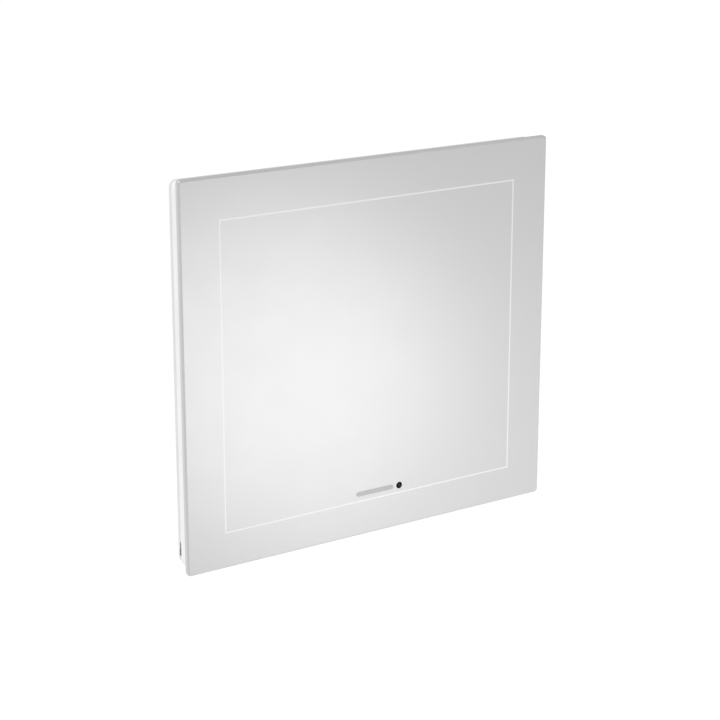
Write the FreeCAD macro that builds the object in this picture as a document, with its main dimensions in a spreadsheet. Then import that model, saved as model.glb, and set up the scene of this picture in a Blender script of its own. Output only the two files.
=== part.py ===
import FreeCAD, Part
import math
import os
import re
import Sketcher

# A single-room ventilation unit with heat recovery.  A flat cover lies on the room side of the
# wall, and a round insert behind it fills a sleeve through the wall.  The fan pushes and pulls
# air in turns through a ceramic block, which stores the heat.
# X runs to the right as seen from the room, Y into the wall, Z up.  The origin is on the
# insert's axis, in the plane of the wall.

# Every size that can be set by itself, in millimetres or degrees.
SIZES = {
    # cover
    "plate_width": 420,
    "plate_height": 388,
    "plate_thick": 5,
    "plate_corner": 4,
    "plate_round": 2,
    "cover_depth": 28,
    "line_side": 41,
    "line_top": 41,
    "line_foot": 36,
    "line_width": 1.6,
    "line_deep": 0.6,
    "badge_width": 44,
    "badge_height": 4.5,
    "badge_proud": 0.3,
    "badge_across": 2.5,
    "badge_up": 44.5,
    "lens_radius": 3.5,
    "lens_proud": 0.9,
    "lens_across": 31.7,
    "tape_thick": 0.8,
    "tape_width": 12,
    "tray_inset": 3.4,
    "tray_corner": 7.5,
    "tray_wall": 2.2,
    "tray_web": 2,
    "rib_thick": 1.6,
    "rib_deep": 3.4,
    "slot_width": 16,
    "slot_high": 5,
    "slot_margin": 56,
    "slot_count": 15,
    "mat_thick": 3.2,
    "mat_margin": 14,
    "mat_gap": 1,
    "stud_in": 30,
    "stud_down": 44,
    "stud_radius": 4,
    "stud_flange": 8,
    "stud_foot": 2,
    "stud_short": 2,
    "clip_wall": 3,
    "clip_high": 7,
    # frame on the wall
    "frame_inset": 4.6,
    "frame_corner": 6.5,
    "frame_deep": 7,
    "frame_rim": 2.4,
    "frame_back": 2.5,
    "frame_gap": 1,
    "fixing_in": 60,
    "fixing_down": 44,
    "fixing_radius": 2.5,
    "seal_over": 17,
    "seal_width": 8,
    "seal_deep": 1.5,
    "entry_up": 82,
    "entry_radius": 5,
    "grommet_wall": 3,
    "grommet_lip": 2,
    "grommet_flange": 2,
    # slide switch in the frame's left side
    "switch_up": 20,
    "switch_slot": 14,
    "switch_open": 3.4,
    "switch_knob": 6,
    "switch_play": 0.4,
    "switch_body": 16,
    "switch_reach": 10,
    "knob_proud": 0.6,
    # insert
    "tube_radius": 79,
    "tube_wall": 3,
    "neck_step": 1.2,
    "tube_long": 205,
    "flange_over": 15,
    "flange_thick": 3,
    "flange_holes": 10.5,
    "screw_radius": 2,
    "screw_short": 0.5,
    "screw_head": 3.5,
    "head_high": 2,
    "fit_gap": 0.3,
    "run_gap": 0.05,
    "cut_over": 1,
    # shutter
    "seat_over": 5,
    "seat_thick": 2.5,
    "shutter_over": 1,
    "shutter_thick": 2,
    "window_inner": 14,
    "window_edge": 8,
    "window_half": 14,
    "window_count": 6,
    "pivot_radius": 3,
    "pivot_head": 7,
    "pivot_cap": 1.5,
    "pivot_tail": 2,
    "tab_gap": 1.7,
    "tab_width": 16,
    "tab_thick": 3,
    "tab_in": 5,
    # room filter
    "filter_front": 4,
    "filter_deep": 14,
    "filter_rim": 8,
    "pleat_pitch": 12,
    "pleat_thick": 1.2,
    "pleat_margin": 1,
    # fan
    "fan_front": 42,
    "fan_deep": 36,
    "duct_wall": 5.7,
    "duct_flare": 3,
    "flare_deep": 5,
    "strut_count": 5,
    "strut_width": 5,
    "strut_deep": 5,
    "strut_over": 1.5,
    "cup_radius": 25,
    "cup_floor": 4,
    "hub_set_in": 4,
    "hub_chamfer": 3,
    "hub_radius": 24,
    "hub_wall": 2,
    "hub_deep": 23,
    "boss_wall": 3,
    "boss_deep": 5,
    "blade_count": 7,
    "blade_thick": 1.4,
    "blade_bow": 4,
    "blade_gap": 2.8,
    "root_chord": 24,
    "root_angle": 40,
    "tip_chord": 36,
    "tip_angle": 62,
    "magnet_thick": 1.8,
    "magnet_deep": 15,
    "magnet_in": 1,
    "shaft_radius": 2,
    "shaft_long": 27,
    "bearing_radius": 5,
    "bearing_deep": 4,
    "bearing_tube": 2,
    "bearing_span": 18,
    "stator_gap": 0.7,
    "stator_ring": 10,
    "stator_set_in": 3,
    "stator_deep": 12,
    "stator_slots": 9,
    "slot_opening": 4.2,
    "coil_over": 2.5,
    "coil_short": 1.5,
    # heat store
    "core_front": 90,
    "core_gap": 4,
    "core_wrap": 3.7,
    "core_rim": 2,
    "cell_pitch": 11.2,
    "cell_open": 9.6,
    "sleeve_over": 2,
    # outdoor end
    "felt_deep": 5,
    "felt_gap": 4,
    "guard_in": 5,
    "guard_deep": 7,
    "guard_rim": 5,
    "guard_web": 3,
    "guard_bar": 2.2,
    "guard_hub": 10,
    "guard_rings": 4,
    "guard_spokes": 6,
    # controls
    "box_clear": 14,
    "box_side": 11,
    "box_height": 130,
    "box_wall": 1.5,
    "box_corner": 4,
    "lid_thick": 1.5,
    "lid_screw_in": 5,
    "lid_screw_head": 2.6,
    "lid_screw_high": 1.5,
    "board_thick": 1.6,
    "board_off": 1,
    "board_side": 2,
    "board_end": 8,
    "board_corner": 1.5,
    "part_clear": 1.2,
    "terminal_height": 12,
}

# Places and widths that follow from the sizes above, as formulas.
PLATE_FRONT = "(-cover_depth)"
PLATE_BACK = "(plate_thick - cover_depth)"
TRAY_FRONT = "(plate_thick + tape_thick - cover_depth)"
TRAY_FLOOR = "(plate_thick + tape_thick + tray_web - cover_depth)"
MAT_BACK = f"({TRAY_FLOOR} + mat_thick)"
TRAY_BACK = "(-frame_deep - frame_gap)"
FRAME_FRONT = "(-frame_deep)"
FRAME_FLOOR = "(-frame_back)"
FLANGE_RADIUS = "(tube_radius + flange_over)"
FLANGE_FRONT = "(-frame_back - flange_thick)"
SEAT_FRONT = f"({FLANGE_FRONT} - seat_thick)"
SHUTTER_BACK = f"({SEAT_FRONT} - fit_gap)"
SHUTTER_FRONT = f"({SHUTTER_BACK} - shutter_thick)"
SHUTTER_RADIUS = "(tube_radius + shutter_over)"
SEAL_RADIUS = "(tube_radius + seal_over)"
BORE = "(tube_radius - tube_wall - fit_gap)"
FAN_DUCT = f"({BORE} - duct_wall)"
HUB_FRONT = "(fan_front + hub_set_in)"
HUB_BORE = "(hub_radius - hub_wall)"
FAN_BACK = "(fan_front + fan_deep)"
CUP_FRONT = f"({FAN_BACK} - cup_floor)"
BEARING_FRONT = f"({CUP_FRONT} - bearing_span - bearing_deep / 2)"
BEARING_SEAT = "(bearing_radius + run_gap)"
STATOR_RADIUS = f"({HUB_BORE} - magnet_thick - stator_gap)"
STATOR_BORE = "(bearing_radius + bearing_tube + 2 * run_gap)"
STATOR_FRONT = f"({BEARING_FRONT} + stator_set_in)"
CORE_RADIUS = f"({BORE} - core_wrap)"
GUARD_BACK = "(tube_long - guard_in)"
FELT_BACK = f"({GUARD_BACK} - guard_deep - felt_gap)"
CORE_BACK = f"({FELT_BACK} - felt_deep - core_gap)"
STUD_ACROSS = "(plate_width / 2 - stud_in)"
STUD_UP = "(plate_height / 2 - stud_down)"
BADGE_LEVEL = "(badge_up - plate_height / 2)"
FRAME_SIDE = "(plate_width / 2 - frame_inset)"
FRAME_INSIDE = f"({FRAME_SIDE} - frame_rim)"
SWITCH_LEVEL = "(switch_up - plate_height / 2)"
BOX_LEFT = f"({FLANGE_RADIUS} + box_clear)"
BOX_RIGHT = f"({FRAME_INSIDE} - box_side)"
BOX_ACROSS = f"(({BOX_LEFT} + {BOX_RIGHT}) / 2)"
BOX_WIDTH = f"({BOX_RIGHT} - {BOX_LEFT})"
BOX_FLOOR = f"({FRAME_FLOOR} - box_wall)"
LID_FRONT = f"({MAT_BACK} + mat_gap + lid_screw_high)"
BOX_FRONT = f"({LID_FRONT} + lid_thick)"
BOARD_WIDTH = f"({BOX_WIDTH} - 2 * box_wall - 2 * board_side)"
BOARD_BACK = f"({BOX_FLOOR} - board_off)"
BOARD_FACE = f"({BOARD_BACK} - board_thick)"
ENTRY_LEVEL = "(entry_up - plate_height / 2)"

doc = FreeCAD.newDocument("HeatRecoveryUnit")
sheet = doc.addObject("Spreadsheet::Sheet", "Size")
for row, (name, size) in enumerate(SIZES.items(), start=1):
    sheet.set(f"A{row}", name)
    sheet.set(f"B{row}", str(size))
    sheet.setAlias(f"B{row}", name)
doc.recompute()

pieces = {}


def sized(formula):
    """Make the named sizes in a formula read their cells in the sheet."""
    return re.sub(r"\b([a-z]+_[a-z_]+)\b", r"Size.\1", formula)


def value(formula):
    """Work a formula out as a plain number."""
    result = sheet.evalExpression(sized(formula))
    return float(getattr(result, "Value", result))


def bind(target, name, formula):
    """Tie a property to the sheet."""
    target.setExpression(name, sized(formula))


# ---- sketches ----

def pin(sketch, edge, end, across, up):
    """Hold one point of an edge at a place given by two formulas."""
    for kind, place in (("DistanceX", across), ("DistanceY", up)):
        number = sketch.addConstraint(Sketcher.Constraint(kind, -1, 1, edge, end, value(place)))
        bind(sketch, f"Constraints[{number}]", place)


def hold_radius(sketch, edge, radius):
    number = sketch.addConstraint(Sketcher.Constraint("Radius", edge, value(radius)))
    bind(sketch, f"Constraints[{number}]", radius)


def join(sketch, edge, end, other, start):
    sketch.addConstraint(Sketcher.Constraint("Coincident", edge, end, other, start))


def vector(across, up):
    return FreeCAD.Vector(value(across), value(up), 0)


def line(sketch, start, end):
    edge = sketch.addGeometry(Part.LineSegment(vector(*start), vector(*end)))
    pin(sketch, edge, 1, *start)
    pin(sketch, edge, 2, *end)
    return edge


def arc(sketch, centre, radius, first, last):
    """An arc from one angle to another, in degrees; its ends are joined to lines by the caller."""
    circle_line = Part.Circle(vector(*centre), FreeCAD.Vector(0, 0, 1), value(radius))
    start, end = math.radians(value(first)), math.radians(value(last))
    edge = sketch.addGeometry(Part.ArcOfCircle(circle_line, start, end))
    hold_radius(sketch, edge, radius)
    return edge


def circle(radius, across="0", up="0"):
    def draw(sketch):
        edge = sketch.addGeometry(
            Part.Circle(vector(across, up), FreeCAD.Vector(0, 0, 1), value(radius)))
        pin(sketch, edge, 3, across, up)
        hold_radius(sketch, edge, radius)
    return draw


def polygon(*corners):
    def draw(sketch):
        count = len(corners)
        edges = []
        for index, corner in enumerate(corners):
            following = corners[(index + 1) % count]
            edges.append(sketch.addGeometry(Part.LineSegment(vector(*corner), vector(*following))))
        for index, edge in enumerate(edges):
            join(sketch, edge, 2, edges[(index + 1) % count], 1)
            pin(sketch, edge, 1, *corners[index])
    return draw


def rectangle(width, height, across="0", up="0"):
    left, right = f"{across} - ({width}) / 2", f"{across} + ({width}) / 2"
    low, high = f"{up} - ({height}) / 2", f"{up} + ({height}) / 2"
    return polygon((left, low), (right, low), (right, high), (left, high))


def rounded(width, height, radius, across="0", up="0"):
    """A rectangle with round corners."""
    def draw(sketch):
        left, right = f"({across} - ({width}) / 2)", f"({across} + ({width}) / 2)"
        low, high = f"({up} - ({height}) / 2)", f"({up} + ({height}) / 2)"
        in_left, in_right = f"({left} + {radius})", f"({right} - ({radius}))"
        in_low, in_high = f"({low} + {radius})", f"({high} - ({radius}))"
        sides = [
            line(sketch, (in_left, low), (in_right, low)),
            line(sketch, (right, in_low), (right, in_high)),
            line(sketch, (in_right, high), (in_left, high)),
            line(sketch, (left, in_high), (left, in_low)),
        ]
        centres = [(in_right, in_low), (in_right, in_high), (in_left, in_high), (in_left, in_low)]
        for index, centre in enumerate(centres):
            start = 90 * (index - 1)
            corner = arc(sketch, centre, radius, str(start), str(start + 90))
            join(sketch, corner, 1, sides[index], 2)
            join(sketch, corner, 2, sides[(index + 1) % 4], 1)
    return draw


def sector(inner, outer, half, middle="0"):
    """A window between two radii, as wide as twice an angle in degrees."""
    def draw(sketch):
        first, last = f"({middle} - {half})", f"({middle} + {half})"

        def place(radius, angle):
            return (f"({radius}) * cos({angle} * 1 deg)", f"({radius}) * sin({angle} * 1 deg)")

        low = line(sketch, place(inner, first), place(outer, first))
        high = line(sketch, place(outer, last), place(inner, last))
        outside = arc(sketch, ("0", "0"), outer, first, last)
        inside = arc(sketch, ("0", "0"), inner, first, last)
        join(sketch, outside, 1, low, 2)
        join(sketch, outside, 2, high, 1)
        join(sketch, inside, 1, low, 1)
        join(sketch, inside, 2, high, 2)
    return draw


# ---- features ----

def origin_feature(body, role):
    return next(item for item in body.Origin.OriginFeatures if item.Role == role)


def new_body(label):
    body = doc.addObject("PartDesign::Body", label)
    body.Label = label
    pieces[label] = body
    return body


def new_sketch(body, role, offset, *drawings):
    sketch = body.newObject("Sketcher::SketchObject", body.Name + "Outline")
    sketch.AttachmentSupport = [(origin_feature(body, role), "")]
    sketch.MapMode = "FlatFace"
    bind(sketch, ".AttachmentOffset.Base.z", offset)
    for draw in drawings:
        draw(sketch)
    return sketch


def slab(body, back, deep, *drawings):
    """Outlines seen from the room, as thick as deep, with their rear face at back."""
    sketch = new_sketch(body, "XZ_Plane", f"-({back})", *drawings)
    pad = body.newObject("PartDesign::Pad", body.Name + "Slab")
    pad.Profile = sketch
    bind(pad, "Length", deep)
    return pad


def cut(body, front, deep, *drawings):
    """A pocket that goes from front towards the wall."""
    sketch = new_sketch(body, "XZ_Plane", f"-({front})", *drawings)
    pocket = body.newObject("PartDesign::Pocket", body.Name + "Cut")
    pocket.Profile = sketch
    bind(pocket, "Length", deep)
    return pocket


def turned(body, *drawings):
    """Outlines of radius and place along Y, turned about the insert's axis."""
    sketch = new_sketch(body, "XY_Plane", "0", *drawings)
    turn = body.newObject("PartDesign::Revolution", body.Name + "Turned")
    turn.Profile = sketch
    turn.ReferenceAxis = (sketch, ["V_Axis"])
    turn.Angle = 360
    return turn


def ring(inner, outer, front, back):
    return polygon((inner, front), (outer, front), (outer, back), (inner, back))


def around(body, features, count):
    """Repeat features evenly about the insert's axis."""
    pattern = body.newObject("PartDesign::PolarPattern", body.Name + "Around")
    pattern.Originals = features
    pattern.Axis = (origin_feature(body, "Y_Axis"), [""])
    pattern.Angle = 360
    bind(pattern, "Occurrences", count)
    body.Tip = pattern
    return pattern


def corners_of(across, up):
    """The four places that mirror each other left, right, up and down."""
    return [(f"{x} * ({across})", f"{z} * ({up})") for x in (-1, 1) for z in (-1, 1)]


def circles(radius, places):
    return [circle(radius, across, up) for across, up in places]


def squares(side, places):
    return [rectangle(side, side, across, up) for across, up in places]


# ---- cover ----

def make_front_plate():
    body = new_body("front_plate")
    plate = slab(body, PLATE_BACK, "plate_thick",
         rounded("plate_width", "plate_height", "plate_corner"),
         circle("lens_radius + run_gap", "lens_across", BADGE_LEVEL))
    doc.recompute()
    front = value(PLATE_FRONT)
    rim = [
        f"Edge{index}" for index, edge in enumerate(plate.Shape.Edges, start=1)
        if abs(edge.BoundBox.YMax - front) < 1e-6 and edge.BoundBox.YLength < 1e-6
        and not is_round_hole(edge)
    ]
    edge_round = body.newObject("PartDesign::Fillet", "PlateEdge")
    edge_round.Base = (plate, rim)
    bind(edge_round, "Radius", "plate_round")
    line_width = "plate_width - 2 * line_side"
    line_height = "plate_height - line_top - line_foot"
    middle = "(line_foot - line_top) / 2"
    cut(body, PLATE_FRONT, "line_deep",
        rectangle(line_width, line_height, "0", middle),
        rectangle(f"{line_width} - 2 * line_width", f"{line_height} - 2 * line_width", "0", middle))
    inlay = new_body("line_inlay")
    slab(inlay, f"{PLATE_FRONT} + line_deep", "line_deep",
         rectangle(line_width, line_height, "0", middle),
         rectangle(f"{line_width} - 2 * line_width", f"{line_height} - 2 * line_width", "0", middle))


def is_round_hole(edge):
    return isinstance(edge.Curve, Part.Circle) and len(edge.Vertexes) == 1


def make_badge_and_lens():
    badge = new_body("badge_bar")
    slab(badge, PLATE_FRONT, "badge_proud",
         rounded("badge_width", "badge_height", "badge_height / 2.05", "badge_across", BADGE_LEVEL))
    top = f"({PLATE_FRONT} - lens_proud)"
    dome = "((lens_radius * lens_radius + lens_proud * lens_proud) / (2 * lens_proud))"
    post = doc.addObject("Part::Cylinder", "LensPost")
    post.Placement.Rotation = FreeCAD.Rotation(FreeCAD.Vector(1, 0, 0), -90)
    bind(post, "Radius", "lens_radius")
    bind(post, "Height", f"{PLATE_BACK} - {top}")
    ball = doc.addObject("Part::Sphere", "LensBall")
    bind(ball, "Radius", dome)
    for item, level in ((post, top), (ball, f"{top} + {dome}")):
        bind(item, "Placement.Base.x", "lens_across")
        bind(item, "Placement.Base.y", level)
        bind(item, "Placement.Base.z", BADGE_LEVEL)
    lens = doc.addObject("Part::Common", "status_lens")
    lens.Base = post
    lens.Tool = ball
    lens.Label = "status_lens"
    pieces["status_lens"] = lens


def make_tape():
    tape = new_body("bond_tape")
    width = "plate_width - 2 * tray_inset - 2 * tray_corner"
    height = "plate_height - 2 * tray_inset - 2 * tray_corner"
    slab(tape, TRAY_FRONT, "tape_thick",
         rectangle(width, height),
         rectangle(f"{width} - 2 * tape_width", f"{height} - 2 * tape_width"))


def make_cover_tray():
    body = new_body("cover_tray")
    width, height = "(plate_width - 2 * tray_inset)", "(plate_height - 2 * tray_inset)"
    inner_width, inner_height = f"({width} - 2 * tray_wall)", f"({height} - 2 * tray_wall)"
    slab(body, TRAY_FLOOR, "tray_web", rounded(width, height, "tray_corner"))
    slab(body, TRAY_BACK, f"{TRAY_BACK} - {TRAY_FLOOR}",
         rounded(width, height, "tray_corner"),
         rounded(inner_width, inner_height, "tray_corner - tray_wall"))
    rib_level = f"({STUD_UP} + stud_flange + rib_thick)"
    slab(body, f"{TRAY_FLOOR} + rib_deep", "rib_deep",
         rectangle(f"{inner_width} - 2 * fit_gap", "rib_thick", "0", rib_level),
         rectangle(f"{inner_width} - 2 * fit_gap", "rib_thick", "0", f"-{rib_level}"))
    row_width = "(plate_width - 2 * slot_margin)"
    sketch = new_sketch(body, "XY_Plane", "0", rectangle(
        "slot_width", "slot_high", f"-{row_width} / 2", f"({TRAY_FLOOR} + {TRAY_BACK}) / 2"))
    slot = body.newObject("PartDesign::Pocket", "AirSlot")
    slot.Profile = sketch
    slot.SideType = "Symmetric"
    slot.Type = "ThroughAll"
    doc.recompute()
    row = body.newObject("PartDesign::LinearPattern", "AirSlotRow")
    row.Originals = [slot]
    row.Direction = (origin_feature(body, "X_Axis"), [""])
    bind(row, "Length", row_width)
    bind(row, "Occurrences", "slot_count")
    body.Tip = row


def make_catches():
    places = corners_of(STUD_ACROSS, STUD_UP)
    studs = new_body("catch_studs")
    stem = f"({FRAME_FLOOR} - stud_short - {TRAY_FLOOR} - stud_foot)"
    slab(studs, f"{TRAY_FLOOR} + stud_foot", "stud_foot", *squares("2 * stud_flange", places))
    slab(studs, f"{FRAME_FLOOR} - stud_short", stem, *circles("stud_radius", places))
    clips = new_body("catch_clips")
    slab(clips, FRAME_FLOOR, "clip_high",
         *squares("2 * (stud_radius + fit_gap + clip_wall)", places),
         *circles("stud_radius + fit_gap", places))


def make_mat():
    mat = new_body("acoustic_mat")
    width = f"2 * ({STUD_ACROSS} - stud_flange - mat_margin)"
    height = f"2 * ({STUD_UP} - mat_margin)"
    slab(mat, MAT_BACK, "mat_thick", rounded(width, height, "tray_corner"))


# ---- frame on the wall ----

def make_wall_frame():
    body = new_body("wall_frame")
    width, height = f"(2 * {FRAME_SIDE})", "(plate_height - 2 * frame_inset)"
    fixings = corners_of("plate_width / 2 - fixing_in", "plate_height / 2 - fixing_down")
    slab(body, "0", "frame_back",
         rounded(width, height, "frame_corner"),
         circle("tube_radius + fit_gap"),
         circle("entry_radius + grommet_wall", BOX_ACROSS, ENTRY_LEVEL),
         *circles("screw_radius", flange_screw_places()),
         *circles("fixing_radius", fixings))
    slab(body, FRAME_FLOOR, "frame_deep - frame_back",
         rounded(width, height, "frame_corner"),
         rounded(f"{width} - 2 * frame_rim", f"{height} - 2 * frame_rim", "frame_corner - frame_rim"))
    cut(body, "-seal_deep", "seal_deep + cut_over",
        circle(SEAL_RADIUS), circle(f"{SEAL_RADIUS} + seal_width"))
    sketch = new_sketch(body, "YZ_Plane", f"-{FRAME_SIDE} - cut_over", rectangle(
        "switch_open", "switch_slot", f"({FRAME_FLOOR} + {FRAME_FRONT}) / 2", SWITCH_LEVEL))
    slot = body.newObject("PartDesign::Pocket", "SwitchSlot")
    slot.Profile = sketch
    slot.Reversed = True
    bind(slot, "Length", "frame_rim + 2 * cut_over")

    seal = new_body("wall_seal")
    slab(seal, "0", "seal_deep", circle(SEAL_RADIUS), circle(f"{SEAL_RADIUS} + seal_width"))
    grommet = new_body("cable_grommet")
    place = (BOX_ACROSS, ENTRY_LEVEL)
    slab(grommet, "0", "frame_back",
         circle("entry_radius + grommet_wall", *place), circle("entry_radius", *place))
    slab(grommet, FRAME_FLOOR, "grommet_lip",
         circle("entry_radius + grommet_wall + grommet_flange", *place), circle("entry_radius", *place))


def make_switch():
    middle = f"(({FRAME_FLOOR} + {FRAME_FRONT}) / 2)"
    inside = f"(-{FRAME_INSIDE})"
    housing = new_body("switch_housing")
    sketch = new_sketch(housing, "XZ_Plane", f"-({FRAME_FLOOR})", rectangle(
        "switch_reach", "switch_body", f"{inside} + switch_reach / 2", SWITCH_LEVEL))
    block = housing.newObject("PartDesign::Pad", "SwitchBlock")
    block.Profile = sketch
    bind(block, "Length", "frame_deep - frame_back")
    sketch = new_sketch(housing, "YZ_Plane", inside, rectangle(
        "switch_open", "switch_slot", middle, SWITCH_LEVEL))
    hollow = housing.newObject("PartDesign::Pocket", "SwitchHollow")
    hollow.Profile = sketch
    hollow.Reversed = True
    bind(hollow, "Length", "switch_reach / 2")
    slider = new_body("switch_slider")
    sketch = new_sketch(slider, "YZ_Plane", f"{inside} + switch_reach / 2 - switch_play", rectangle(
        "switch_open - 2 * switch_play", "switch_knob",
        middle, f"{SWITCH_LEVEL} + switch_play + switch_knob / 2 - switch_slot / 2"))
    knob = slider.newObject("PartDesign::Pad", "SliderKnob")
    knob.Profile = sketch
    knob.Reversed = True
    bind(knob, "Length", "switch_reach / 2 + frame_rim + knob_proud - switch_play")


# ---- insert ----

def flange_screw_places():
    radius = "(tube_radius + flange_holes)"
    return [(f"{radius} * cos({angle} * 1 deg)", f"{radius} * sin({angle} * 1 deg)")
            for angle in (90, 210, 330)]


def make_tube():
    body = new_body("insert_tube")
    neck = "tube_radius - neck_step"
    turned(body, polygon(
        ("tube_radius - tube_wall", FLANGE_FRONT), (FLANGE_RADIUS, FLANGE_FRONT),
        (FLANGE_RADIUS, FRAME_FLOOR), (neck, FRAME_FLOOR), (neck, "0"), ("tube_radius", "0"),
        ("tube_radius", "tube_long"), ("tube_radius - tube_wall", "tube_long")))
    places = flange_screw_places()
    cut(body, FLANGE_FRONT, "flange_thick", *circles("screw_radius", places))
    screws = new_body("flange_screws")
    slab(screws, "-screw_short", "frame_back + flange_thick - screw_short", *circles("screw_radius", places))
    slab(screws, FLANGE_FRONT, "head_high", *circles("screw_head", places))


def make_shutter():
    seat = new_body("shutter_seat")
    opening = sector("window_inner", "tube_radius - window_edge", "window_half")
    slab(seat, FLANGE_FRONT, "seat_thick", circle("tube_radius + seat_over"), circle("pivot_radius"))
    window = cut(seat, SEAT_FRONT, "seat_thick", opening)
    around(seat, [window], "window_count")
    disc = new_body("shutter_disc")
    slab(disc, SHUTTER_BACK, "shutter_thick", circle(SHUTTER_RADIUS), circle("pivot_radius + run_gap"))
    window = cut(disc, SHUTTER_FRONT, "shutter_thick", opening)
    around(disc, [window], "window_count")
    slab(disc, SHUTTER_FRONT, f"{SHUTTER_FRONT} - {MAT_BACK} - tab_gap",
         rectangle("tab_thick", "tab_width", f"{SHUTTER_RADIUS} - tab_in", "0"))
    pivot = new_body("shutter_pivot")
    cap_back = f"({SHUTTER_FRONT} - fit_gap)"
    slab(pivot, f"{FLANGE_FRONT} + pivot_tail", f"{FLANGE_FRONT} + pivot_tail - {cap_back}",
         circle("pivot_radius"))
    slab(pivot, cap_back, "pivot_cap", circle("pivot_head"))


def make_room_filter():
    cassette = new_body("filter_cassette")
    turned(cassette, ring(f"{BORE} - filter_rim", BORE, "filter_front", "filter_front + filter_deep"))
    folds = doc.addObject("PartDesign::Body", "PleatSheet")
    half = math.ceil(value(f"({BORE} - filter_rim) / pleat_pitch"))
    front = "filter_front + pleat_margin"
    back = "filter_front + filter_deep - pleat_margin - pleat_thick"
    near, far = [], []
    for fold in range(-2 * half, 2 * half + 1):
        across = f"{fold} * pleat_pitch / 2"
        depth = front if fold % 2 else back
        near.append((across, depth))
        far.append((across, f"{depth} + pleat_thick"))
    sketch = new_sketch(folds, "XY_Plane", "0", polygon(*near, *reversed(far)))
    pad = folds.newObject("PartDesign::Pad", "Folds")
    pad.Profile = sketch
    pad.SideType = "Symmetric"
    bind(pad, "Length", f"2 * {BORE}")
    round_cut = doc.addObject("Part::Cylinder", "FilterRound")
    bind(round_cut, "Radius", f"{BORE} - filter_rim - fit_gap / 3")
    bind(round_cut, "Height", "filter_deep")
    round_cut.Placement.Rotation = FreeCAD.Rotation(FreeCAD.Vector(1, 0, 0), -90)
    bind(round_cut, "Placement.Base.y", "filter_front")
    pleats = doc.addObject("Part::Common", "filter_pleats")
    pleats.Base = folds
    pleats.Tool = round_cut
    pleats.Label = "filter_pleats"
    pieces["filter_pleats"] = pleats


# ---- fan ----

def make_fan_housing():
    body = new_body("fan_housing")
    turned(body,
           polygon((f"{FAN_DUCT} + duct_flare", "fan_front"), (BORE, "fan_front"), (BORE, FAN_BACK),
                   (FAN_DUCT, FAN_BACK), (FAN_DUCT, "fan_front + flare_deep")),
           polygon((BEARING_SEAT, BEARING_FRONT), ("bearing_radius + bearing_tube", BEARING_FRONT),
                   ("bearing_radius + bearing_tube", CUP_FRONT), ("cup_radius", CUP_FRONT),
                   ("cup_radius", FAN_BACK), (BEARING_SEAT, FAN_BACK)))
    strut = slab(body, FAN_BACK, "strut_deep", rectangle(
        f"{FAN_DUCT} - cup_radius + 2 * strut_over", "strut_width",
        f"({FAN_DUCT} + cup_radius) / 2", "0"))
    around(body, [strut], "strut_count")


def blade_section(chord, angle):
    """A thin bowed blade, cut across: place along Y against place around the hub."""
    middle = f"({HUB_FRONT} + hub_deep / 2)"

    def place(share, side):
        """share runs from -1 at the front edge to 1 at the rear edge."""
        along = f"({share} * {chord} / 2)"
        aside = f"(blade_bow * {1 - share * share} + {side} * blade_thick / 2)"
        return (f"{middle} + {along} * cos({angle} * 1 deg) - {aside} * sin({angle} * 1 deg)",
                f"{along} * sin({angle} * 1 deg) + {aside} * cos({angle} * 1 deg)")

    shares = (-1, -0.4, 0.4, 1)
    low = [place(share, -1) for share in shares]
    high = [place(share, 1) for share in shares]
    return polygon(*low, *reversed(high))


def make_impeller():
    body = new_body("impeller")
    turned(body, polygon(
        ("shaft_radius", HUB_FRONT), ("hub_radius - hub_chamfer", HUB_FRONT),
        ("hub_radius", f"{HUB_FRONT} + hub_chamfer"),
        ("hub_radius", f"{HUB_FRONT} + hub_deep"), (HUB_BORE, f"{HUB_FRONT} + hub_deep"),
        (HUB_BORE, f"{HUB_FRONT} + hub_wall"), ("shaft_radius + boss_wall", f"{HUB_FRONT} + hub_wall"),
        ("shaft_radius + boss_wall", f"{HUB_FRONT} + boss_deep"),
        ("shaft_radius", f"{HUB_FRONT} + boss_deep")))
    tip = f"({FAN_DUCT} - blade_gap)"
    stations = [
        (f"{HUB_BORE} + hub_wall / 4", "root_chord", "root_angle"),
        (tip, "tip_chord", "tip_angle"),
    ]
    sections = [new_sketch(body, "YZ_Plane", radius, blade_section(chord, angle))
                for radius, chord, angle in stations]
    blade = body.newObject("PartDesign::AdditiveLoft", "Blade")
    blade.Profile = sections[0]
    blade.Sections = sections[1:]
    blade.Ruled = True
    doc.recompute()
    around(body, [blade], "blade_count")


def make_rotor_parts():
    magnet = new_body("rotor_magnet")
    turned(magnet, ring(f"{HUB_BORE} - magnet_thick", HUB_BORE,
                        f"{HUB_FRONT} + hub_deep - magnet_deep", f"{HUB_FRONT} + hub_deep - magnet_in"))
    shaft = new_body("rotor_shaft")
    turned(shaft, polygon(("0", HUB_FRONT), ("shaft_radius", HUB_FRONT),
                          ("shaft_radius", f"{HUB_FRONT} + shaft_long"),
                          ("0", f"{HUB_FRONT} + shaft_long")))


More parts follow.
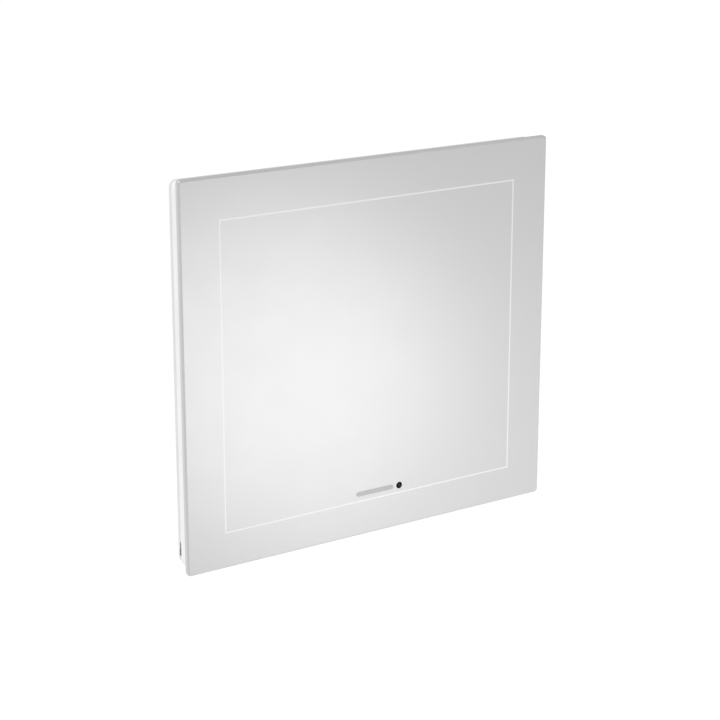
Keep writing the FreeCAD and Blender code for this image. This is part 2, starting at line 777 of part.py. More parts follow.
def make_motor():
    bearings = new_body("bearings")
    inner = "shaft_radius + run_gap"
    turned(bearings,
           ring(inner, "bearing_radius", BEARING_FRONT, f"{BEARING_FRONT} + bearing_deep"),
           ring(inner, "bearing_radius",
                f"{CUP_FRONT} - bearing_deep / 2", f"{CUP_FRONT} + bearing_deep / 2"))
    stator = new_body("motor_stator")
    slab(stator, f"{STATOR_FRONT} + stator_deep", "stator_deep",
         circle(STATOR_RADIUS), circle(STATOR_BORE))
    deep = f"({STATOR_RADIUS} - stator_ring)"
    slot = cut(stator, STATOR_FRONT, "stator_deep", rectangle(
        f"{deep} + 2 * cut_over", "slot_opening", f"stator_ring + {deep} / 2 + cut_over", "0"))
    around(stator, [slot], "stator_slots")
    coils = new_body("motor_windings")
    coil_long = f"({deep} - coil_short)"
    coil_back = f"{STATOR_FRONT} + stator_deep + coil_over"
    coil = slab(coils, coil_back, "stator_deep + 2 * coil_over", rectangle(
        coil_long, "slot_opening - fit_gap", f"stator_ring + fit_gap + {coil_long} / 2", "0"))
    around(coils, [coil], "stator_slots")


# ---- heat store and outdoor end ----

def make_core():
    radius, pitch, half = value(CORE_RADIUS), value("cell_pitch"), value("cell_open / 2")
    reach = int(radius // pitch)
    deep = value(f"{CORE_BACK} - core_front")
    axis = FreeCAD.Vector(0, 1, 0)
    cells = []
    for column in range(-reach, reach + 1):
        for level in range(-reach, reach + 1):
            x, z = column * pitch, level * pitch
            if math.hypot(abs(x) + half, abs(z) + half) > radius - value("core_rim"):
                continue
            corners = [FreeCAD.Vector(x + side * half, 0, z + end * half)
                       for side, end in ((-1, -1), (1, -1), (1, 1), (-1, 1), (-1, -1))]
            cells.append(Part.Face(Part.makePolygon(corners)))
    face = Part.Face(Part.Wire(Part.makeCircle(radius, FreeCAD.Vector(0, 0, 0), axis)))
    block = doc.addObject("Part::Feature", "ceramic_core")
    block.Shape = face.cut(Part.makeCompound(cells)).extrude(axis * deep).Solids[0]
    block.Placement.Base = FreeCAD.Vector(0, value("core_front"), 0)
    block.Label = "ceramic_core"
    pieces["ceramic_core"] = block
    sleeve = new_body("core_sleeve")
    turned(sleeve, ring(f"{CORE_RADIUS} + fit_gap", BORE,
                        "core_front - sleeve_over", f"{CORE_BACK} + sleeve_over"))


def make_outdoor_end():
    felt = new_body("outdoor_filter")
    turned(felt, ring("0", BORE, f"{FELT_BACK} - felt_deep", FELT_BACK))
    guard = new_body("outdoor_guard")
    slab(guard, GUARD_BACK, "guard_deep", circle(BORE), circle(f"{BORE} - guard_rim"))
    slab(guard, GUARD_BACK, "guard_web", circle(f"{BORE} - guard_rim + cut_over"))
    rings = int(value("guard_rings"))
    step = f"(({BORE} - guard_rim - guard_hub) / guard_rings)"
    windows = []
    for index in range(rings):
        inner = f"(guard_hub + {index} * {step} + guard_bar)"
        outer = f"(guard_hub + {index + 1} * {step})"
        half = f"(180 / guard_spokes - asin(guard_bar / 2 / {inner}) / 1 deg)"
        windows.append(cut(guard, f"{GUARD_BACK} - guard_web - cut_over",
                           "guard_web + 2 * cut_over", sector(inner, outer, half)))
    around(guard, windows, "guard_spokes")


# ---- controls ----

def make_controls():
    box = new_body("control_box")
    outline = rounded(BOX_WIDTH, "box_height", "box_corner", BOX_ACROSS, "0")
    inner = rounded(f"{BOX_WIDTH} - 2 * box_wall", "box_height - 2 * box_wall",
                    "box_corner - box_wall", BOX_ACROSS, "0")
    slab(box, FRAME_FLOOR, "box_wall", outline)
    slab(box, BOX_FLOOR, f"{BOX_FLOOR} - {BOX_FRONT}", outline, inner)
    lid = new_body("control_lid")
    slab(lid, BOX_FRONT, "lid_thick", outline)
    places = [(f"{BOX_ACROSS} + {x}", y)
              for x, y in corners_of(f"({BOX_WIDTH} / 2 - lid_screw_in)", "box_height / 2 - lid_screw_in")]
    screws = new_body("lid_screws")
    slab(screws, LID_FRONT, "lid_screw_high", *circles("lid_screw_head", places))
    board = new_body("control_board")
    slab(board, BOARD_BACK, "board_thick", rounded(
        BOARD_WIDTH, "box_height - 2 * box_wall - 2 * board_end", "board_corner", BOX_ACROSS, "0"))

    def across(share):
        return f"({BOX_ACROSS} + {share} * {BOARD_WIDTH})"

    def up(share):
        return f"({share} * box_height)"

    part_high = f"({BOARD_FACE} - {BOX_FRONT} - part_clear)"
    parts = new_body("board_parts")
    slab(parts, BOARD_FACE, part_high,
         rectangle(f"0.18 * {BOARD_WIDTH}", up(0.14), across(-0.26), up(0.23)),
         rectangle(f"0.16 * {BOARD_WIDTH}", up(0.09), across(0.08), up(0.03)))
    slab(parts, BOARD_FACE, f"0.9 * {part_high}",
         circle(f"0.065 * {BOARD_WIDTH}", across(0.29), up(0.28)),
         circle(f"0.065 * {BOARD_WIDTH}", across(0.29), up(0.17)),
         circle(f"0.05 * {BOARD_WIDTH}", across(-0.29), up(0.02)))
    terminal = new_body("terminal_block")
    slab(terminal, BOARD_FACE, part_high,
         rectangle(f"0.52 * {BOARD_WIDTH}", "terminal_height", BOX_ACROSS, up(-0.31)))


def main():
    make_front_plate()
    make_badge_and_lens()
    make_tape()
    make_cover_tray()
    make_catches()
    make_mat()
    make_wall_frame()
    make_switch()
    make_tube()
    make_shutter()
    make_room_filter()
    make_fan_housing()
    make_impeller()
    make_rotor_parts()
    make_motor()
    make_core()
    make_outdoor_end()
    make_controls()
    doc.recompute()
    for item in doc.Objects:
        if "Invalid" in item.State or "Error" in item.State:
            raise RuntimeError(f"{item.Name} failed: {item.State}")
    os.makedirs("parts", exist_ok=True)
    for label, item in pieces.items():
        shape = item.Shape
        if shape.isNull() or not shape.isValid() or not shape.Solids:
            raise RuntimeError(f"{label} has no valid solid")
    for label, item in pieces.items():
        item.Shape.exportStep(f"parts/{label}.step")
        print(f"{label}: {len(item.Shape.Solids)} solid(s), {item.Shape.Volume / 1000:.1f} cm3")


main()
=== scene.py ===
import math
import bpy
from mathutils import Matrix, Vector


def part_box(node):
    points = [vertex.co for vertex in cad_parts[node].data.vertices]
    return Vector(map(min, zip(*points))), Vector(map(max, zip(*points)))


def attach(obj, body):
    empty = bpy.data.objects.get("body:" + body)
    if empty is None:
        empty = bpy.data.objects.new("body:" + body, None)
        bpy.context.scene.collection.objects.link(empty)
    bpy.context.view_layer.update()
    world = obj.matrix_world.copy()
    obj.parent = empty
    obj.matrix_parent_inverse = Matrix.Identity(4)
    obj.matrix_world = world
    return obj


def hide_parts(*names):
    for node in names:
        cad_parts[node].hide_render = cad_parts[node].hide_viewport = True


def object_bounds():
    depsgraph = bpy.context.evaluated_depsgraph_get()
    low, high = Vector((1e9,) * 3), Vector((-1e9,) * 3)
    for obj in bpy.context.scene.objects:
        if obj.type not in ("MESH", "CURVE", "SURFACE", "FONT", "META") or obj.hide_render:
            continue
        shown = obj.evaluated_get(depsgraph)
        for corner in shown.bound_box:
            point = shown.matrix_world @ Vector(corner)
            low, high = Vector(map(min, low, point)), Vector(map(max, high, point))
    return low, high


bl_info = {
    "name": "Heat recovery unit finishes",
    "version": (1, 0, 0),
    "blender": (4, 5, 0),
    "location": "3D View > Sidebar > Unit",
    "description": "Finishes, small fittings and a studio for a single-room heat recovery unit",
    "category": "Object",
}

import bmesh
import bpy
from mathutils import Vector

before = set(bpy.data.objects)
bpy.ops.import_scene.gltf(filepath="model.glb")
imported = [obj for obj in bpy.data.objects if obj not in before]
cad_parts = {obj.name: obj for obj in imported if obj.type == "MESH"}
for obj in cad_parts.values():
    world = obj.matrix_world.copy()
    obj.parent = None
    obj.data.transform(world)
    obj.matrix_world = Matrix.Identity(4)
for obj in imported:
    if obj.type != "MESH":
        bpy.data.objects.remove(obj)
cad_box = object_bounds()

MM = 0.001

# sockets of a colour mix node, which share their names with other types
MIX_FACTOR, MIX_LOW, MIX_HIGH = 0, 6, 7
MIX_RESULT = 2
# the middle range that a noise texture mostly stays in
NOISE_LOW, NOISE_HIGH = 0.3, 0.7

# the acoustic mat's waffled face
WAFFLE_PITCH = 11 * MM
WAFFLE_RELIEF = 0.9 * MM
WAFFLE_STEPS = 5
MAT_SOFT_EDGE = 2.2 * MM
MAT_EDGE_DROP = 0.6 * MAT_SOFT_EDGE
MAT_CORNER = 7.5 * MM
MAT_SHARP_ANGLE = 70

# a screw's cross recess and dome, as shares of its radius or of its head's height
CROSS_LONG, CROSS_WIDE = 0.55, 0.13
CROSS_DEEP, HEAD_DOME = 0.45, 0.4
HEAD_RINGS = 22
SHANK_LEAST = 0.1 * MM

# the studio
SENSOR_WIDTH = 36
CLIP_START, CLIP_END = 0.05, 60
FLOOR_REACH = 12
FLOOR_ALBEDO = 0.92
OVERHEAD_ANGLE = math.radians(40)
FROM_ABOVE_LEFT = (-0.55, 0.0, 0.83)


# ---- user settings ----

class UnitCoverSettings(bpy.types.PropertyGroup):
    """Colours and finish of the cover."""

    plate_colour: bpy.props.FloatVectorProperty(
        name="Plate", description="Colour of the front plate", subtype="COLOR", size=3,
        default=(0.46, 0.461, 0.463), min=0, max=1)
    plate_roughness: bpy.props.FloatProperty(
        name="Plate roughness", description="How soft reflections on the plate are",
        subtype="FACTOR", default=0.34, min=0, max=1)
    line_colour: bpy.props.FloatVectorProperty(
        name="Line", description="Colour of the inlaid line", subtype="COLOR", size=3,
        default=(0.65, 0.65, 0.65), min=0, max=1)
    shell_colour: bpy.props.FloatVectorProperty(
        name="Shell", description="Colour of the shell behind the plate", subtype="COLOR", size=3,
        default=(0.74, 0.742, 0.745), min=0, max=1)
    badge_colour: bpy.props.FloatVectorProperty(
        name="Badge", description="Colour of the plain bar", subtype="COLOR", size=3,
        default=(0.33, 0.335, 0.34), min=0, max=1)


class UnitBodySettings(bpy.types.PropertyGroup):
    """Colours of the frame, the insert and what they hold."""

    frame_colour: bpy.props.FloatVectorProperty(
        name="Frame", description="Colour of the frame on the wall", subtype="COLOR", size=3,
        default=(0.62, 0.622, 0.626), min=0, max=1)
    tube_colour: bpy.props.FloatVectorProperty(
        name="Tube", description="Colour of the insert's tube", subtype="COLOR", size=3,
        default=(0.52, 0.53, 0.54), min=0, max=1)
    ceramic_colour: bpy.props.FloatVectorProperty(
        name="Ceramic", description="Colour of the heat store", subtype="COLOR", size=3,
        default=(0.78, 0.69, 0.56), min=0, max=1)
    dark_colour: bpy.props.FloatVectorProperty(
        name="Dark plastic", description="Colour of the fan and the small fittings", subtype="COLOR",
        size=3, default=(0.035, 0.036, 0.038), min=0, max=1)


class UnitStageSettings(bpy.types.PropertyGroup):
    """Camera and light."""

    azimuth: bpy.props.FloatProperty(
        name="Azimuth", description="How far left of straight ahead the camera stands",
        subtype="ANGLE", unit="ROTATION", default=math.radians(-32.2))
    elevation: bpy.props.FloatProperty(
        name="Elevation", description="How far above level the camera stands",
        subtype="ANGLE", unit="ROTATION", default=math.radians(15.28))
    distance: bpy.props.FloatProperty(
        name="Distance", description="From the camera to what it aims at", unit="LENGTH",
        default=1.8077, min=0.5)
    aim_right: bpy.props.FloatProperty(
        name="Aim right", description="Where on the plate the camera aims, from the middle",
        unit="LENGTH", default=-0.0154)
    aim_up: bpy.props.FloatProperty(
        name="Aim up", description="Where on the plate the camera aims, from the middle",
        unit="LENGTH", default=0.0655)
    lens: bpy.props.FloatProperty(
        name="Lens", description="Focal length in millimetres on a 36 mm sensor", default=92.68)
    shift: bpy.props.FloatProperty(
        name="Shift", description="Vertical lens shift, in sensor widths", default=-0.1)
    floor_drop: bpy.props.FloatProperty(
        name="Floor drop", description="How far the floor is below the unit", unit="LENGTH",
        default=0.55, min=0)
    sky_strength: bpy.props.FloatProperty(
        name="Sky", description="Strength of the even light all round", default=0.38, min=0)
    sun_strength: bpy.props.FloatProperty(
        name="Overhead", description="Strength of the soft light from above", default=2.85, min=0)
    glow_power: bpy.props.FloatProperty(
        name="Glow", description="Power of the soft light that shows in the plate, in watts",
        default=4.2, min=0)
    glow_right: bpy.props.FloatProperty(
        name="Glow right", description="Where on the plate the glow shows, from the middle",
        unit="LENGTH", default=-0.18)
    glow_up: bpy.props.FloatProperty(
        name="Glow up", description="Where on the plate the glow shows, from the middle",
        unit="LENGTH", default=-0.03)
    glow_distance: bpy.props.FloatProperty(
        name="Glow distance", description="From the plate to the glow", unit="LENGTH",
        default=1.0, min=0.3)
    glow_size: bpy.props.FloatProperty(
        name="Glow size", description="How wide the glow is", unit="LENGTH", default=0.5, min=0.05)


# ---- materials ----

def new_material(name, colour, roughness, **sockets):
    """A principled material; what is the same all over stays on the shader's own sockets."""
    made = bpy.data.materials.new(name)
    made.use_nodes = True
    shader = made.node_tree.nodes["Principled BSDF"]
    shader.inputs["Base Color"].default_value = (*colour, 1)
    shader.inputs["Roughness"].default_value = roughness
    for socket, amount in sockets.items():
        shader.inputs[socket.replace("_", " ")].default_value = amount
    made["colour"] = list(colour)
    return made


def noise(material, size, detail=3.0, stretch=(1, 1, 1)):
    """A noise texture whose features are about size metres across, fixed to the object."""
    tree = material.node_tree
    place = tree.nodes.new("ShaderNodeTexCoord")
    scale = tree.nodes.new("ShaderNodeMapping")
    scale.inputs["Scale"].default_value = stretch
    texture = tree.nodes.new("ShaderNodeTexNoise")
    texture.inputs["Scale"].default_value = 1 / size
    texture.inputs["Detail"].default_value = detail
    tree.links.new(place.outputs["Object"], scale.inputs["Vector"])
    tree.links.new(scale.outputs["Vector"], texture.inputs["Vector"])
    return texture.outputs["Fac"]


def spread(material, source, low, high):
    """Stretch a texture's middle range to run from low to high."""
    node = material.node_tree.nodes.new("ShaderNodeMapRange")
    node.inputs["From Min"].default_value = NOISE_LOW
    node.inputs["From Max"].default_value = NOISE_HIGH
    node.inputs["To Min"].default_value = low
    node.inputs["To Max"].default_value = high
    material.node_tree.links.new(source, node.inputs["Value"])
    return node.outputs["Result"]


def mottle(material, size, amount, stretch=(1, 1, 1)):
    """Vary the colour a little over the surface."""
    tree = material.node_tree
    colour = material["colour"]
    mix = tree.nodes.new("ShaderNodeMix")
    mix.data_type = "RGBA"
    mix.inputs[MIX_LOW].default_value = (*[c * (1 - amount) for c in colour], 1)
    mix.inputs[MIX_HIGH].default_value = (*[min(1, c * (1 + amount)) for c in colour], 1)
    factor = spread(material, noise(material, size, 4, stretch), 0, 1)
    tree.links.new(factor, mix.inputs[MIX_FACTOR])
    tree.links.new(mix.outputs[MIX_RESULT], tree.nodes["Principled BSDF"].inputs["Base Color"])
    return material


def smudge(material, size, low, high, stretch=(1, 1, 1)):
    """Vary the roughness from low to high."""
    tree = material.node_tree
    result = spread(material, noise(material, size, 4, stretch), low, high)
    tree.links.new(result, tree.nodes["Principled BSDF"].inputs["Roughness"])
    return material


def grain(material, size, depth, strength=1.0, stretch=(1, 1, 1)):
    """A fine relief, depth metres deep."""
    tree = material.node_tree
    bump = tree.nodes.new("ShaderNodeBump")
    bump.inputs["Strength"].default_value = strength
    bump.inputs["Distance"].default_value = depth
    tree.links.new(noise(material, size, 2, stretch), bump.inputs["Height"])
    tree.links.new(bump.outputs["Normal"], tree.nodes["Principled BSDF"].inputs["Normal"])
    return material


def moulded(name, colour, roughness=0.42, texture=0.0006):
    """Moulded plastic with a spark-eroded texture."""
    made = new_material(name, colour, roughness)
    mottle(made, 0.05, 0.02)
    smudge(made, 0.02, roughness - 0.06, roughness + 0.08)
    return grain(made, texture, 0.00004, 0.5)


def metal(name, colour, roughness, stretch=(1, 1, 1)):
    """Bare metal; a stretch draws its marks out along the way it was worked."""
    made = new_material(name, colour, roughness, Metallic=1.0)
    mottle(made, 0.004, 0.06, stretch)
    smudge(made, 0.003, roughness * 0.7, roughness * 1.3, stretch)
    return grain(made, 0.0005, 0.00002, 0.4, stretch)


def foam(name, colour, pore):
    """Soft foam with pores about pore metres across."""
    made = new_material(name, colour, 0.95, Sheen_Weight=0.25, Sheen_Roughness=0.6)
    mottle(made, pore * 3, 0.25)
    return grain(made, pore, pore * 0.6, 0.9)


def fleece(name, colour):
    """Filter fleece, with fibres drawn out along Z."""
    made = new_material(name, colour, 0.9, Sheen_Weight=0.4, Sheen_Roughness=0.5)
    mottle(made, 0.002, 0.08, (1, 1, 0.2))
    return grain(made, 0.0006, 0.0002, 0.8, (1, 1, 0.15))


def dress(material, *names):
    """Give CAD parts their finish."""
    for name in names:
        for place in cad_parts[name].material_slots:
            place.material = material


# ---- mesh helpers ----

def add_piece(name, mesh, material, body, slot, *replaced):
    """Link a mesh that rides on a body, in the place of the CAD nodes that it replaces."""
    piece = bpy.data.objects.new(name, mesh)
    bpy.context.scene.collection.objects.link(piece)
    piece.data.materials.append(material)
    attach(piece, body)
    if replaced:
        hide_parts(*replaced)
    return piece


def islands(node):
    """The separate solids of a CAD node, as (low, high) corners, in order of place."""
    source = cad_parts[node].data
    work = bmesh.new()
    work.from_mesh(source)
    bmesh.ops.remove_doubles(work, verts=work.verts, dist=1e-6)
    left = set(work.verts)
    boxes = []
    while left:
        group, edge = set(), [left.pop()]
        while edge:
            vertex = edge.pop()
            group.add(vertex)
            for link in vertex.link_edges:
                other = link.other_vert(vertex)
                if other in left:
                    left.discard(other)
                    edge.append(other)
        low = Vector(min(vertex.co[axis] for vertex in group) for axis in range(3))
        high = Vector(max(vertex.co[axis] for vertex in group) for axis in range(3))
        boxes.append((low, high))
    work.free()
    return sorted(boxes, key=lambda box: tuple(box[0]))


class Builder:
    """Collects closed rings of points for one mesh."""

    def __init__(self):
        self.points = []
        self.faces = []

    def tube(self, rings):
        """Skin a row of rings, each a list of equally many points; both ends are closed."""
        first = len(self.points)
        count = len(rings[0])
        for ring in rings:
            self.points.extend(ring)
        for level in range(len(rings) - 1):
            low = first + level * count
            for index in range(count):
                following = (index + 1) % count
                self.faces.append((low + index, low + following,
                                   low + count + following, low + count + index))
        last = first + (len(rings) - 1) * count
        self.faces.append(tuple(reversed(range(first, first + count))))
        self.faces.append(tuple(range(last, last + count)))

    def mesh(self, name, sharp=40):
        """The collected faces as a mesh, smooth up to an angle of sharp degrees."""
        made = bpy.data.meshes.new(name)
        made.from_pydata(self.points, [], self.faces)
        work = bmesh.new()
        work.from_mesh(made)
        bmesh.ops.recalc_face_normals(work, faces=work.faces)
        work.to_mesh(made)
        work.free()
        made.shade_smooth()
        made.set_sharp_from_angle(angle=math.radians(sharp))
        return made


def circle_points(centre, radius, level, count=48):
    """A ring about an axis along Y, at a level along Y."""
    turns = [2 * math.pi * step / count for step in range(count)]
    return [(centre.x + radius * math.cos(turn), level, centre.z + radius * math.sin(turn))
            for turn in turns]


def add_screw(builder, box, head_high, shank_radius):
    """A pan-head screw with a cross recess, which faces the room and fills a CAD screw's box."""
    low, high = box
    centre = (low + high) / 2
    radius = (high.x - low.x) / 2
    head_back = low.y + head_high
    arm_long, arm_wide = CROSS_LONG * radius, CROSS_WIDE * radius

    def level(x, z):
        across, up = abs(x - centre.x), abs(z - centre.z)
        in_cross = min(across, up) < arm_wide and max(across, up) < arm_long
        dome = HEAD_DOME * head_high * ((across ** 2 + up ** 2) / radius ** 2)
        return low.y + dome + (CROSS_DEEP * head_high if in_cross else 0)

    rings = []
    for step in range(1, HEAD_RINGS + 1):
        ring = circle_points(centre, radius * step / HEAD_RINGS, low.y)
        rings.append([(x, level(x, z), z) for x, _, z in ring])
    rings.append(circle_points(centre, radius, head_back))
    rings.append(circle_points(centre, shank_radius, head_back))
    rings.append(circle_points(centre, shank_radius, max(high.y, head_back + SHANK_LEAST)))
    builder.tube(rings)


def pull_in(along, half, radius, across, half_across):
    """Move a point of a rectangle's grid to inside its round corner."""
    over, over_across = abs(along) - (half - radius), abs(across) - (half_across - radius)
    if over <= 0 or over_across <= 0:
        return along, across
    reach = math.hypot(over, over_across)
    scale = max(over, over_across) / reach
    return (math.copysign(half - radius + over * scale, along),
            math.copysign(half_across - radius + over_across * scale, across))


def waffle_points(middle, half, back, columns, rows):
    """A grid over the mat's waffled face, column by column, falling away at its edges."""
    points = []
    for column in range(columns + 1):
        for row in range(rows + 1):
            x, z = half.x * (2 * column / columns - 1), half.z * (2 * row / rows - 1)
            edge = min(half.x - abs(x), half.z - abs(z))
            x, z = pull_in(x, half.x, MAT_CORNER, z, half.z)
            wave = math.cos(2 * math.pi * x / WAFFLE_PITCH) * math.cos(2 * math.pi * z / WAFFLE_PITCH)
            fall = MAT_EDGE_DROP * max(0, 1 - edge / MAT_SOFT_EDGE) ** 2
            drop = WAFFLE_RELIEF * (1 - wave) / 2 + fall
            points.append((middle.x + x, back - drop, middle.z + z))
    return points


def grid_rim(columns, rows):
    """The numbers of a grid's outer points, once round."""
    rim = [column * (rows + 1) for column in range(columns)]
    rim += [columns * (rows + 1) + row for row in range(rows)]
    rim += [column * (rows + 1) + rows for column in range(columns, 0, -1)]
    rim += list(range(rows, 0, -1))
    return rim


def add_waffle_mat(material):
    """The acoustic mat, with a waffled rear face and soft edges, glued flat to the shell."""
    low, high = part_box("acoustic_mat")
    middle, half = (low + high) / 2, (high - low) / 2
    step = WAFFLE_PITCH / WAFFLE_STEPS
    columns, rows = round(2 * half.x / step), round(2 * half.z / step)
    builder = Builder()
    builder.points = waffle_points(middle, half, high.y, columns, rows)
    for column in range(columns):
        for row in range(rows):
            first = column * (rows + 1) + row
            builder.faces.append((first, first + rows + 1, first + rows + 2, first + 1))
    rim = grid_rim(columns, rows)
    glued = len(builder.points)
    builder.points += [(builder.points[index][0], low.y, builder.points[index][2]) for index in rim]
    for index, rim_point in enumerate(rim):
        following = (index + 1) % len(rim)
        builder.faces.append((rim_point, rim[following], glued + following, glued + index))
    builder.faces.append(tuple(range(glued, glued + len(rim))))
    return add_piece("waffle_mat", builder.mesh("waffle_mat", MAT_SHARP_ANGLE), material,
                     "cover", "foam_grey", "acoustic_mat")


def add_screws(name, node, material, head_high, shank_radius):
    """One piece with a screw in the place of each solid of a CAD node."""
    builder = Builder()
    for box in islands(node):
        add_screw(builder, box, head_high, shank_radius)
    return add_piece(name, builder.mesh(name), material, "unit", "steel", node)


# ---- operators ----

class UNIT_OT_cover(bpy.types.Operator):
    """Finish the plate, its line, badge and lens, and the shell behind them"""

    bl_idname = "unit.cover"
    bl_label = "Cover"

    def execute(self, context):
        look = context.scene.unit_cover
        plate = new_material("opal_plate", look.plate_colour, look.plate_roughness,
                             Coat_Weight=1.0, Coat_Roughness=0.3, Coat_IOR=1.45)
        mottle(plate, 0.08, 0.006)
        smudge(plate, 0.03, look.plate_roughness - 0.02, look.plate_roughness + 0.02)
        grain(plate, 0.004, 0.000004, 0.3)
        dress(plate, "front_plate")
        line = new_material("inlaid_line", look.line_colour, 0.3)
        mottle(line, 0.02, 0.01)
        dress(line, "line_inlay")
        badge = moulded("printed_bar", look.badge_colour, 0.35)
        dress(badge, "badge_bar")
        lens = new_material("smoked_lens", (0.003, 0.003, 0.0035), 0.22, Specular_IOR_Level=0.1)
        smudge(lens, 0.002, 0.18, 0.27)
        dress(lens, "status_lens")
        dress(foam("bond_foam", (0.30, 0.30, 0.31), 0.0005), "bond_tape")
        dress(moulded("shell_plastic", look.shell_colour), "cover_tray", "catch_studs")
        add_waffle_mat(foam("acoustic_foam", (0.045, 0.046, 0.05), 0.0012))
        return {"FINISHED"}


class UNIT_OT_wall_frame(bpy.types.Operator):
    """Finish the frame on the wall, its catches, seal, grommet and switch"""

    bl_idname = "unit.wall_frame"
    bl_label = "Wall frame"

    def execute(self, context):
        look = context.scene.unit_body
        dress(moulded("frame_plastic", look.frame_colour), "wall_frame")
        dress(moulded("catch_plastic", look.dark_colour, 0.38), "catch_clips", "switch_housing")
        rubber = new_material("rubber", (0.02, 0.02, 0.021), 0.75)
        mottle(rubber, 0.01, 0.2)
        grain(rubber, 0.0008, 0.00005, 0.5)
        dress(rubber, "wall_seal", "cable_grommet")
        dress(moulded("switch_plastic", (0.11, 0.11, 0.115), 0.4), "switch_slider")
        return {"FINISHED"}


class UNIT_OT_insert(bpy.types.Operator):
    """Finish the tube, the shutter and the room filter"""

    bl_idname = "unit.insert"
    bl_label = "Insert"

    def execute(self, context):
        look = context.scene.unit_body
        tube = new_material("tube_plastic", look.tube_colour, 0.4)
        mottle(tube, 0.01, 0.03, (1, 0.08, 1))
        smudge(tube, 0.006, 0.32, 0.5, (1, 0.06, 1))
        grain(tube, 0.0012, 0.00003, 0.5, (1, 0.03, 1))
        dress(tube, "insert_tube")
        dress(moulded("shutter_plastic", look.frame_colour), "shutter_seat", "shutter_disc")
        dress(moulded("pivot_plastic", look.dark_colour), "shutter_pivot", "filter_cassette")
        dress(fleece("filter_fleece", (0.82, 0.83, 0.82)), "filter_pleats")
        return {"FINISHED"}


class UNIT_OT_fan(bpy.types.Operator):
    """Finish the fan and its motor"""

    bl_idname = "unit.fan"
    bl_label = "Fan"

    def execute(self, context):
        look = context.scene.unit_body
        dress(moulded("fan_plastic", look.dark_colour, 0.36), "fan_housing", "impeller")
        dress(metal("ferrite", (0.10, 0.10, 0.11), 0.6), "rotor_magnet")
        dress(metal("ground_steel", (0.62, 0.62, 0.63), 0.2, (1, 0.1, 1)), "rotor_shaft", "bearings")
        dress(metal("laminations", (0.30, 0.31, 0.33), 0.45, (0.1, 8, 0.1)), "motor_stator")
        dress(metal("copper_wire", (0.70, 0.27, 0.11), 0.3, (0.2, 4, 0.2)), "motor_windings")
        return {"FINISHED"}


class UNIT_OT_heat_store(bpy.types.Operator):
    """Finish the ceramic block, its sleeve and the outdoor end"""

    bl_idname = "unit.heat_store"
    bl_label = "Heat store"

    def execute(self, context):
        look = context.scene.unit_body
        ceramic = new_material("ceramic", look.ceramic_colour, 0.8)
        mottle(ceramic, 0.006, 0.10)
        grain(ceramic, 0.0007, 0.00008, 0.7)
        dress(ceramic, "ceramic_core")
        dress(foam("sleeve_foam", (0.66, 0.66, 0.64), 0.0006), "core_sleeve")
        dress(fleece("coarse_felt", (0.13, 0.135, 0.14)), "outdoor_filter")
        dress(moulded("guard_plastic", (0.44, 0.45, 0.46)), "outdoor_guard")
        return {"FINISHED"}


class UNIT_OT_controls(bpy.types.Operator):
    """Finish the control box and what it holds"""

    bl_idname = "unit.controls"
    bl_label = "Controls"

    def execute(self, context):
        look = context.scene.unit_body
        dress(moulded("box_plastic", look.dark_colour), "control_box", "control_lid")
        board = new_material("solder_mask", (0.012, 0.11, 0.045), 0.3, Coat_Weight=0.4)
        mottle(board, 0.004, 0.15)
        dress(board, "control_board")
        dress(moulded("part_cases", (0.03, 0.03, 0.032), 0.4), "board_parts")
        dress(moulded("terminal_plastic", (0.03, 0.22, 0.09), 0.4), "terminal_block")
        steel = metal("zinc_steel", (0.60, 0.61, 0.62), 0.3)
        add_screws("flange_screw_set", "flange_screws", steel, 2 * MM, 2 * MM)
        add_screws("lid_screw_set", "lid_screws", steel, 1.4 * MM, 1.5 * MM)
        return {"FINISHED"}


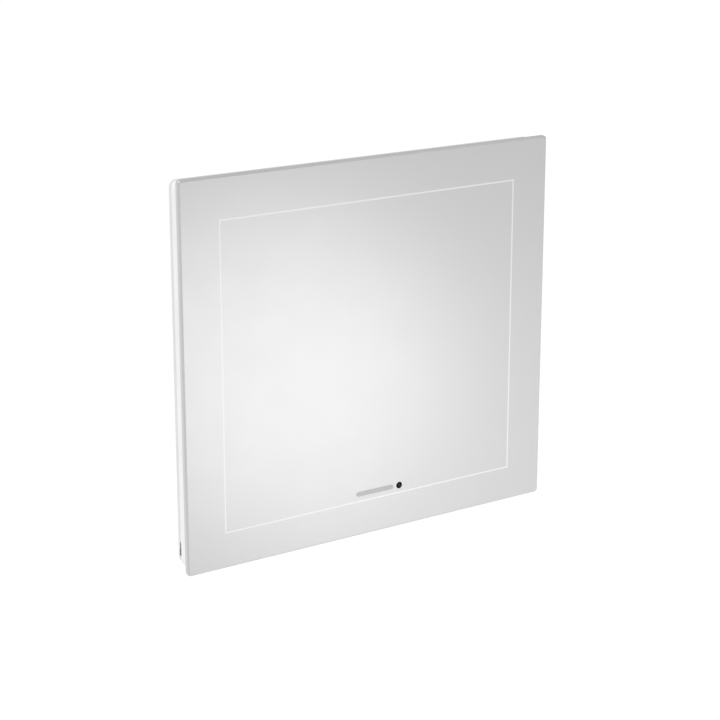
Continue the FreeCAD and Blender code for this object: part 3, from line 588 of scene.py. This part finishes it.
class UNIT_OT_stage(bpy.types.Operator):
    """Put up the floor, the lights and the camera"""

    bl_idname = "unit.stage"
    bl_label = "Stage"

    def execute(self, context):
        look = context.scene.unit_stage
        scene = context.scene
        plate_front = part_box("front_plate")[0].y
        scene.view_settings.view_transform = "Standard"
        self.add_floor(scene, cad_box[0].z - look.floor_drop)
        self.add_sky(scene, look.sky_strength)
        back = Vector((math.sin(look.azimuth) * math.cos(look.elevation),
                       -math.cos(look.azimuth) * math.cos(look.elevation),
                       math.sin(look.elevation)))
        aim = Vector((look.aim_right, plate_front, look.aim_up))
        camera = bpy.data.cameras.new("camera")
        camera.lens = look.lens
        camera.sensor_width = SENSOR_WIDTH
        camera.shift_y = look.shift
        camera.clip_start, camera.clip_end = CLIP_START, CLIP_END
        camera_object = bpy.data.objects.new("camera", camera)
        camera_object.location = aim + back * look.distance
        camera_object.rotation_euler = (-back).to_track_quat("-Z", "Y").to_euler()
        scene.collection.objects.link(camera_object)
        scene.camera = camera_object
        mirrored = Vector((-back.x, back.y, -back.z))
        glow_at = Vector((look.glow_right, plate_front, look.glow_up))
        glow = bpy.data.lights.new("glow", "AREA")
        glow.shape = "DISK"
        glow.size = look.glow_size
        glow.energy = look.glow_power
        self.add_light(scene, glow, glow_at + mirrored * look.glow_distance, mirrored)
        overhead = bpy.data.lights.new("overhead", "SUN")
        overhead.energy = look.sun_strength
        overhead.angle = OVERHEAD_ANGLE
        from_above_left = Vector(FROM_ABOVE_LEFT)
        self.add_light(scene, overhead, from_above_left, from_above_left)
        return {"FINISHED"}

    def add_floor(self, scene, level):
        """A plain pale floor at a level."""
        mesh = bpy.data.meshes.new("floor")
        corners = [(-1, -1), (1, -1), (1, 1), (-1, 1)]
        mesh.from_pydata([(FLOOR_REACH * x, FLOOR_REACH * y, level) for x, y in corners], [],
                         [(0, 1, 2, 3)])
        floor = bpy.data.objects.new("floor", mesh)
        scene.collection.objects.link(floor)
        floor.data.materials.append(new_material("floor_white", (FLOOR_ALBEDO,) * 3, 0.9))

    def add_sky(self, scene, strength):
        """An even white light all round."""
        scene.world = bpy.data.worlds.new("studio")
        scene.world.use_nodes = True
        background = scene.world.node_tree.nodes["Background"]
        background.inputs["Color"].default_value = (1, 1, 1, 1)
        background.inputs["Strength"].default_value = strength

    def add_light(self, scene, data, place, toward):
        """Link a light that shines from place, away from the direction toward."""
        light = bpy.data.objects.new(data.name, data)
        light.location = place
        light.rotation_euler = toward.to_track_quat("Z", "Y").to_euler()
        scene.collection.objects.link(light)


class UNIT_PT_finishes(bpy.types.Panel):
    """Finishes of the heat recovery unit"""

    bl_label = "Heat recovery unit"
    bl_idname = "UNIT_PT_finishes"
    bl_space_type = "VIEW_3D"
    bl_region_type = "UI"
    bl_category = "Unit"

    def draw(self, context):
        for group in (context.scene.unit_cover, context.scene.unit_body, context.scene.unit_stage):
            column = self.layout.column(align=True)
            for name in group.__annotations__:
                column.prop(group, name)
        for operator in OPERATORS:
            self.layout.operator(operator.bl_idname)


OPERATORS = (UNIT_OT_cover, UNIT_OT_wall_frame, UNIT_OT_insert, UNIT_OT_fan,
             UNIT_OT_heat_store, UNIT_OT_controls, UNIT_OT_stage)
GROUPS = {"unit_cover": UnitCoverSettings, "unit_body": UnitBodySettings, "unit_stage": UnitStageSettings}


def register():
    for group in GROUPS.values():
        bpy.utils.register_class(group)
    for name, group in GROUPS.items():
        setattr(bpy.types.Scene, name, bpy.props.PointerProperty(type=group))
    for operator in OPERATORS:
        bpy.utils.register_class(operator)
    bpy.utils.register_class(UNIT_PT_finishes)


def unregister():
    bpy.utils.unregister_class(UNIT_PT_finishes)
    for operator in reversed(OPERATORS):
        bpy.utils.unregister_class(operator)
    for name, group in GROUPS.items():
        delattr(bpy.types.Scene, name)
        bpy.utils.unregister_class(group)


def main():
    register()
    bpy.ops.unit.cover()
    bpy.ops.unit.wall_frame()
    bpy.ops.unit.insert()
    bpy.ops.unit.fan()
    bpy.ops.unit.heat_store()
    bpy.ops.unit.controls()
    bpy.ops.unit.stage()


if __name__ == "__main__":
    main()
